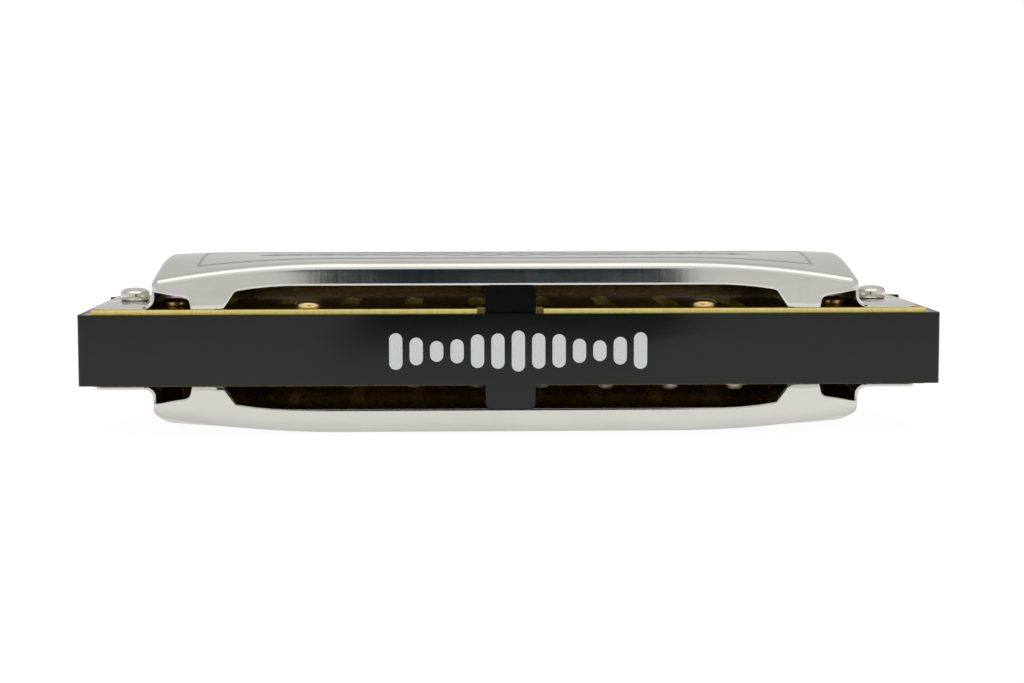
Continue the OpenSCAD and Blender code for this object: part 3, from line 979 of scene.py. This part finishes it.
def make_print():
    """Generic decoration in silver ink on the rear face: a row of rounded bars like a sound wave."""
    left, right = -14.4, 16.2
    high, low = 2.07, -2.81
    bars = 13
    gap = 0.35                                    # between two bars, as a share of the pitch
    pitch = (right - left) / (bars - gap)
    half = 0.325 * pitch
    middle = (high + low) / 2
    points, faces = [], []
    for k in range(bars):
        x = left + half + k * pitch
        swell = 0.45 + 0.55 * abs(math.cos(math.pi * (k - 6) / 7.5)) * (0.82 if k % 2 else 1.0)
        reach = (high - low) / 2 * min(1.0, swell)
        outline = [(x + half * math.cos(a), middle + (reach - half) + half * math.sin(a))
                   for a in [math.pi * n / 12 for n in range(13)]]
        outline += [(x - (px - x), 2 * middle - pz) for px, pz in outline]
        first = len(points)
        points += [(px, REAR_Y - PRINT_LIFT, MID_Z + pz) for px, pz in outline]
        faces.append(tuple(range(first, first + len(outline))))
    mesh = mesh_from("rear_print", points, faces)
    tidy_faces(mesh)
    obj = new_object("rear_print", mesh, INK)
    ink = obj.modifiers.new("ink", "SOLIDIFY")
    ink.thickness = 0.03 * MM
    ink.offset = 0
    bake(obj)


def ribbon(path, width):
    """Points and faces of a flat line along (x, s) places on the upper cover's skin."""
    points, faces = [], []
    for k, (x, s) in enumerate(path):
        (x0, s0), (x1, s1) = path[max(0, k - 1)], path[min(len(path) - 1, k + 1)]
        length = math.hypot(x1 - x0, s1 - s0)
        nx, ns = -(s1 - s0) / length * width / 2, (x1 - x0) / length * width / 2
        for side in (1, -1):
            px, ps = x + side * nx, s + side * ns
            points.append(cover_point(px, ps, skin_z(px, ps) + PRINT_LIFT))
        if k:
            faces.append((2 * k - 2, 2 * k - 1, 2 * k + 1, 2 * k))
    return points, faces


def along(a, b, step=1.0):
    """Places from a to b in even steps."""
    count = max(2, int(math.hypot(b[0] - a[0], b[1] - a[1]) / step) + 1)
    return [(lerp(a[0], b[0], k / (count - 1)), lerp(a[1], b[1], k / (count - 1))) for k in range(count)]


def make_stamping():
    """Generic stamping on the upper cover: a frame line, and a band of two waves with rings between them."""
    frame_x, near, far = 37.0, 5.0, 14.6
    band_s, band_x, reach = 9.8, 30, 1.9          # the band's middle, its half length and the waves' height
    crossings, ring_r = 4, 0.7                    # distance between two crossings, radius of the rings
    corners = [(-frame_x, near), (frame_x, near), (frame_x, far), (-frame_x, far), (-frame_x, near)]
    parts = [ribbon(along(a, b), 0.3) for a, b in zip(corners, corners[1:])]
    for phase in (0.0, math.pi):
        wave = []
        for x in [k / 4 for k in range(-4 * band_x, 4 * band_x + 1)]:
            swing = math.sin(x * math.pi / crossings + phase) * math.cos(x / band_x * math.pi / 2)
            wave.append((x, band_s + reach * swing))
        parts.append(ribbon(wave, 0.45))
    angles = [2 * math.pi * k / 20 for k in range(21)]
    for x in range(-28, 29, crossings):
        ring = [(x + ring_r * math.cos(a), band_s + ring_r * math.sin(a)) for a in angles]
        parts.append(ribbon(ring, 0.35))
    mesh = mesh_from("cover_stamping", *joined(parts))
    obj = new_object("cover_stamping", mesh, STAMPED)
    line = obj.modifiers.new("line", "SOLIDIFY")
    line.thickness = 0.04 * MM
    line.offset = 0
    bake(obj)


# ---- floor, light and camera ---------------------------------------------------------------------

def make_floor():
    """White paper. The camera sees it nearly shadowless; the steel reflects it with the full shadow."""
    side, front, back = 4000, -150, 4000
    corners = [(-side, front, 0), (side, front, 0), (side, back, 0), (-side, back, 0)]
    floor = new_object("floor", mesh_from("floor", corners, [(0, 1, 2, 3)]), body=None)
    paper = Material("floor_paper", Roughness=0.9)
    paper.shader.inputs["Specular IOR Level"].default_value = 0.1
    paper.shader.inputs["Emission Color"].default_value = (1, 1, 1, 1)
    seen = paper.node("ShaderNodeLightPath").outputs["Is Camera Ray"]
    paper.set(Base_Color=paper.colours(seen, [(0.0, (0.66, 0.66, 0.64)), (1.0, (0.1, 0.1, 0.1))]))
    paper.set(Emission_Strength=paper.spread(seen, 0.44, 0.93, 0.0, 1.0))
    floor.data.materials.append(paper.data)


def make_world():
    """A white studio: brightest above, and brighter on the camera's side. The camera sees plain white."""
    world = bpy.data.worlds.new("studio")
    bpy.context.scene.world = world
    world.use_nodes = True
    tree = world.node_tree
    tree.nodes.clear()

    def ramp(value, start, end, low, high):
        node = tree.nodes.new("ShaderNodeMapRange")
        node.interpolation_type = "SMOOTHSTEP"
        tree.links.new(value, node.inputs["Value"])
        for key, number in zip(("From Min", "From Max", "To Min", "To Max"), (start, end, low, high)):
            node.inputs[key].default_value = number
        return node.outputs["Result"]

    coords = tree.nodes.new("ShaderNodeTexCoord")
    split = tree.nodes.new("ShaderNodeSeparateXYZ")
    tree.links.new(coords.outputs["Generated"], split.inputs["Vector"])
    lamp_side = tree.nodes.new("ShaderNodeVectorMath")
    lamp_side.operation = "DOT_PRODUCT"
    lamp_side.inputs[1].default_value = (0.0, -0.42, 0.91)
    tree.links.new(coords.outputs["Generated"], lamp_side.inputs[0])
    above = ramp(lamp_side.outputs["Value"], 0.7, 0.92, 0.0, 0.22)
    around = ramp(split.outputs["Y"], -0.8, 0.8, 0.78, 0.66)
    total = tree.nodes.new("ShaderNodeMath")
    total.operation = "ADD"
    tree.links.new(above, total.inputs[0])
    tree.links.new(around, total.inputs[1])
    studio = tree.nodes.new("ShaderNodeBackground")
    studio.inputs["Color"].default_value = (1.0, 0.995, 0.975, 1)
    tree.links.new(total.outputs["Value"], studio.inputs["Strength"])
    backdrop = tree.nodes.new("ShaderNodeBackground")
    backdrop.inputs["Color"].default_value = (1, 1, 1, 1)
    path = tree.nodes.new("ShaderNodeLightPath")
    mix = tree.nodes.new("ShaderNodeMixShader")
    output = tree.nodes.new("ShaderNodeOutputWorld")
    tree.links.new(path.outputs["Is Camera Ray"], mix.inputs["Fac"])
    tree.links.new(studio.outputs["Background"], mix.inputs[1])
    tree.links.new(backdrop.outputs["Background"], mix.inputs[2])
    tree.links.new(mix.outputs["Shader"], output.inputs["Surface"])


def make_dark_card():
    """The dark lens side of the studio, seen only as the long reflection in the steel and the comb."""
    y, low, high = REAR_Y - 115, 0.5, 62
    right, low_left, high_left = 33, -31, -39
    points = [(low_left, y, low), (right, y, low), (right, y, high), (high_left, y, high)]
    mesh = mesh_from("dark_card", points, [(0, 1, 2, 3)])
    card = new_object("dark_card", mesh, body=None)
    black = Material("card_black", Base_Color=(0.004, 0.014, 0.02, 1), Roughness=1.0)
    card.data.materials.append(black.data)
    card.visible_camera = False
    card.visible_shadow = False
    card.visible_diffuse = False


def make_softbox(name, place, aim, size, power):
    data = bpy.data.lights.new(name, "AREA")
    data.shape = "RECTANGLE"
    data.size, data.size_y = size[0] * MM, size[1] * MM
    data.energy = power
    light = bpy.data.objects.new(name, data)
    bpy.context.scene.collection.objects.link(light)
    light.location = Vector(place) * MM
    light.rotation_euler = (Vector(aim) - Vector(place)).to_track_quat("-Z", "Y").to_euler()
    light.visible_camera = False


def make_camera():
    """The camera behind and slightly above the harmonica, nearly square to its rear face."""
    back, over, aside = 253.94, 23.95, -6.0       # from the rear face, the mid-plane and the comb's middle
    turned, down, rolled = -1.387, 5.214, -0.097  # degrees
    data = bpy.data.cameras.new("camera")
    data.lens = 75.68
    data.sensor_width = 36
    data.clip_start = 0.01
    camera = bpy.data.objects.new("camera", data)
    bpy.context.scene.collection.objects.link(camera)
    turn = Matrix.Rotation(math.radians(turned), 4, "Z")
    tilt = Matrix.Rotation(math.radians(90 - down), 4, "X")
    roll = Matrix.Rotation(math.radians(rolled), 4, "Z")
    place = Matrix.Translation(Vector((aside, REAR_Y - back, MID_Z + over)) * MM)
    camera.matrix_world = place @ turn @ tilt @ roll
    bpy.context.scene.camera = camera


# ---- the scene -----------------------------------------------------------------------------------

make_comb()
make_plate(1)
make_plate(-1)
make_cover(1)
make_cover(-1)
make_reeds()
make_feet_and_rivets()
make_fasteners()
make_print()
make_stamping()

make_floor()
make_world()
make_dark_card()
make_softbox("overhead", (0, -150, 390), (0, 0, 10), (560, 260), 0.27)
make_camera()
bpy.context.scene.view_settings.view_transform = "Standard"
